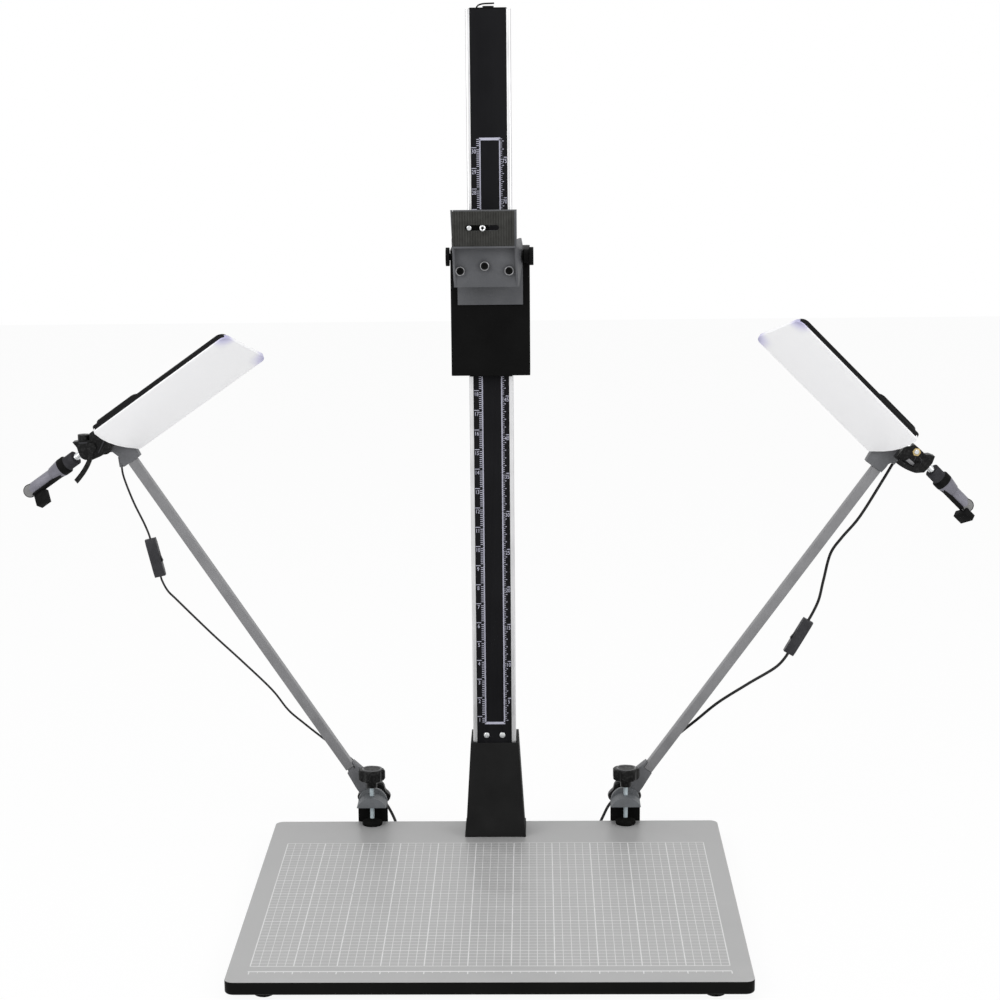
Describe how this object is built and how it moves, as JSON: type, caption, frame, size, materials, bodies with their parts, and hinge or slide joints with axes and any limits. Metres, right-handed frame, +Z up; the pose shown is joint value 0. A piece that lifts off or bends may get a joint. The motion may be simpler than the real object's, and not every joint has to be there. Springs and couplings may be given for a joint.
{
  "type": "copy stand",
  "caption": "Copy stand with a ruled baseboard, a scaled column, a sliding tilting camera bracket and two clamp-on swivelling panel lamps with switched cords.",
  "frame": {"origin": "middle of the baseboard's top face", "axes": "+Z up, +X to the right seen from the front, +Y towards the column"},
  "size_m": [1.2626, 0.6577, 1.103],
  "materials": {
    "laminate": "satin light grey laminate with printed rules and dark edges",
    "rubber": "matt black",
    "aluminium": "anodised",
    "black_paint": "fine satin black",
    "black_plastic": "moulded black",
    "chrome": "polished",
    "grey_paint": "satin grey",
    "arm_paint": "satin mid grey",
    "pad_rubber": "ribbed dark grey",
    "diffuser": "translucent white",
    "cord": "smooth black flat twin cord"
  },
  "bodies": {
    "base": {"baseboard": "laminate", "board_foot_front_left": "rubber", "board_foot_front_right": "rubber", "board_foot_rear_left": "rubber", "board_foot_rear_right": "rubber", "column": "aluminium", "scale_strip": "black_paint", "column_cap": "black_plastic", "column_foot": "black_paint", "foot_screws": "chrome", "clamp_frame_left": "grey_paint", "cord_tail_left": "cord", "cord_coil_left": "cord", "plug_left": "black_plastic", "clamp_frame_right": "grey_paint", "cord_tail_right": "cord", "cord_coil_right": "cord", "plug_right": "black_plastic"},
    "carriage": {"carriage_sleeve": "black_paint", "bracket_mount": "grey_paint"},
    "carriage_lock": {"carriage_lock_knob": "black_plastic"},
    "bracket": {"tilt_bracket": "grey_paint", "bracket_bolts": "grey_paint", "rubber_pad": "pad_rubber", "tilt_bolt": "black_plastic"},
    "tilt_knob_body": {"tilt_knob": "black_plastic"},
    "slider": {"screw_slider": "aluminium"},
    "camera_screw_body": {"camera_screw": "chrome"},
    "screw_left": {"clamp_screw_left": "chrome"},
    "screw_knob_left": {"clamp_knob_left": "black_plastic"},
    "arm_left": {"arm_bracket_left": "grey_paint", "arm_tube_left": "arm_paint", "arm_casting_left": "grey_paint", "cord_top_left": "cord", "cord_switch_left": "black_plastic", "cord_middle_left": "cord"},
    "arm_lock_left": {"arm_lock_knob_left": "black_plastic"},
    "rocker_left": {"switch_rocker_left": "black_plastic"},
    "swivel_left": {"swivel_block_left": "black_plastic"},
    "lever_left": {"swivel_lever_left": "black_plastic"},
    "lamp_left": {"lamp_housing_left": "black_plastic", "lamp_diffuser_left": "diffuser", "handle_rod_left": "arm_paint", "handle_grip_left": "black_plastic"},
    "screw_right": {"clamp_screw_right": "chrome"},
    "screw_knob_right": {"clamp_knob_right": "black_plastic"},
    "arm_right": {"arm_bracket_right": "grey_paint", "arm_tube_right": "arm_paint", "arm_casting_right": "grey_paint", "cord_top_right": "cord", "cord_switch_right": "black_plastic", "cord_middle_right": "cord"},
    "arm_lock_right": {"arm_lock_knob_right": "black_plastic"},
    "rocker_right": {"switch_rocker_right": "black_plastic"},
    "swivel_right": {"swivel_block_right": "black_plastic"},
    "lever_right": {"swivel_lever_right": "black_plastic"},
    "lamp_right": {"lamp_housing_right": "black_plastic", "lamp_diffuser_right": "diffuser", "handle_rod_right": "arm_paint", "handle_grip_right": "black_plastic"}
  },
  "joints": [
    {"name": "carriage_slide", "type": "slide", "parent": "base", "child": "carriage", "axis": [0, 0, 1], "range_m": [-0.465, 0.28]},
    {"name": "carriage_lock_turn", "type": "hinge", "parent": "carriage", "child": "carriage_lock", "pos_m": [0, 0.296, 0.698], "axis": [0, 1, 0], "continuous": true},
    {"name": "bracket_tilt", "type": "hinge", "parent": "carriage", "child": "bracket", "pos_m": [0, 0.203, 0.77], "axis": [1, 0, 0], "range_deg": [-30, 30]},
    {"name": "tilt_knob_turn", "type": "hinge", "parent": "bracket", "child": "tilt_knob_body", "pos_m": [0.045, 0.203, 0.77], "axis": [1, 0, 0], "continuous": true},
    {"name": "screw_slide", "type": "slide", "parent": "bracket", "child": "slider", "axis": [1, 0, 0], "range_m": [-0.0025, 0.0168]},
    {"name": "camera_screw_turn", "type": "hinge", "parent": "slider", "child": "camera_screw_body", "pos_m": [-0.0078, 0.17, 0.8078], "axis": [0, 1, 0], "continuous": true},
    {"name": "clamp_screw_left_lift", "type": "slide", "parent": "base", "child": "screw_left", "axis": [0, 0, 1], "range_m": [0, 0.003]},
    {"name": "clamp_knob_left_turn", "type": "hinge", "parent": "screw_left", "child": "screw_knob_left", "pos_m": [-0.168, 0.2842, 0.06], "axis": [0, 0, 1], "range_deg": [0, 720]},
    {"name": "arm_left_swing", "type": "hinge", "parent": "base", "child": "arm_left", "pos_m": [-0.168, 0.3126, 0.027], "axis": [0, 1, 0], "range_deg": [-30, 15]},
    {"name": "arm_lock_left_turn", "type": "hinge", "parent": "arm_left", "child": "arm_lock_left", "pos_m": [-0.168, 0.328, 0.027], "axis": [0, 1, 0], "continuous": true},
    {"name": "switch_rocker_left_rock", "type": "hinge", "parent": "arm_left", "child": "rocker_left", "pos_m": [-0.44737, 0.314, 0.36737], "axis": [0, 1, 0], "range_deg": [0, 14]},
    {"name": "head_left_swivel", "type": "hinge", "parent": "arm_left", "child": "swivel_left", "pos_m": [-0.51179, 0.3126, 0.51663], "axis": [0, 1, 0], "range_deg": [-45, 8]},
    {"name": "swivel_lever_left_turn", "type": "hinge", "parent": "swivel_left", "child": "lever_left", "pos_m": [-0.52553, 0.2766, 0.52099], "axis": [0, 1, 0], "range_deg": [-25, 25]},
    {"name": "lamp_left_roll", "type": "hinge", "parent": "swivel_left", "child": "lamp_left", "pos_m": [-0.51967, 0.2896, 0.52646], "axis": [0.7885, -0.2592, 0.5577], "range_deg": [-40, 30]},
    {"name": "clamp_screw_right_lift", "type": "slide", "parent": "base", "child": "screw_right", "axis": [0, 0, 1], "range_m": [0, 0.003]},
    {"name": "clamp_knob_right_turn", "type": "hinge", "parent": "screw_right", "child": "screw_knob_right", "pos_m": [0.1755, 0.2842, 0.06], "axis": [0, 0, 1], "range_deg": [0, 720]},
    {"name": "arm_right_swing", "type": "hinge", "parent": "base", "child": "arm_right", "pos_m": [0.1755, 0.3126, 0.027], "axis": [0, 1, 0], "range_deg": [-15, 30]},
    {"name": "arm_lock_right_turn", "type": "hinge", "parent": "arm_right", "child": "arm_lock_right", "pos_m": [0.1755, 0.328, 0.027], "axis": [0, 1, 0], "continuous": true},
    {"name": "switch_rocker_right_rock", "type": "hinge", "parent": "arm_right", "child": "rocker_right", "pos_m": [0.40151, 0.314, 0.25531], "axis": [0, -1, 0], "range_deg": [0, 14]},
    {"name": "head_right_swivel", "type": "hinge", "parent": "arm_right", "child": "swivel_right", "pos_m": [0.5395, 0.3126, 0.49738], "axis": [0, 1, 0], "range_deg": [-4, 45]},
    {"name": "swivel_lever_right_turn", "type": "hinge", "parent": "swivel_right", "child": "lever_right", "pos_m": [0.55342, 0.2766, 0.48673], "axis": [0, 1, 0], "range_deg": [-25, 25]},
    {"name": "lamp_right_roll", "type": "hinge", "parent": "swivel_right", "child": "lamp_right", "pos_m": [0.54772, 0.2896, 0.50693], "axis": [-0.6883, -0.225, 0.6896], "range_deg": [-40, 40]}
  ],
  "couplings": [
    {"joint": "clamp_knob_left_turn", "follows": "clamp_screw_left_lift", "rad_per_m": 4188.8},
    {"joint": "clamp_knob_right_turn", "follows": "clamp_screw_right_lift", "rad_per_m": 4188.8}
  ]
}
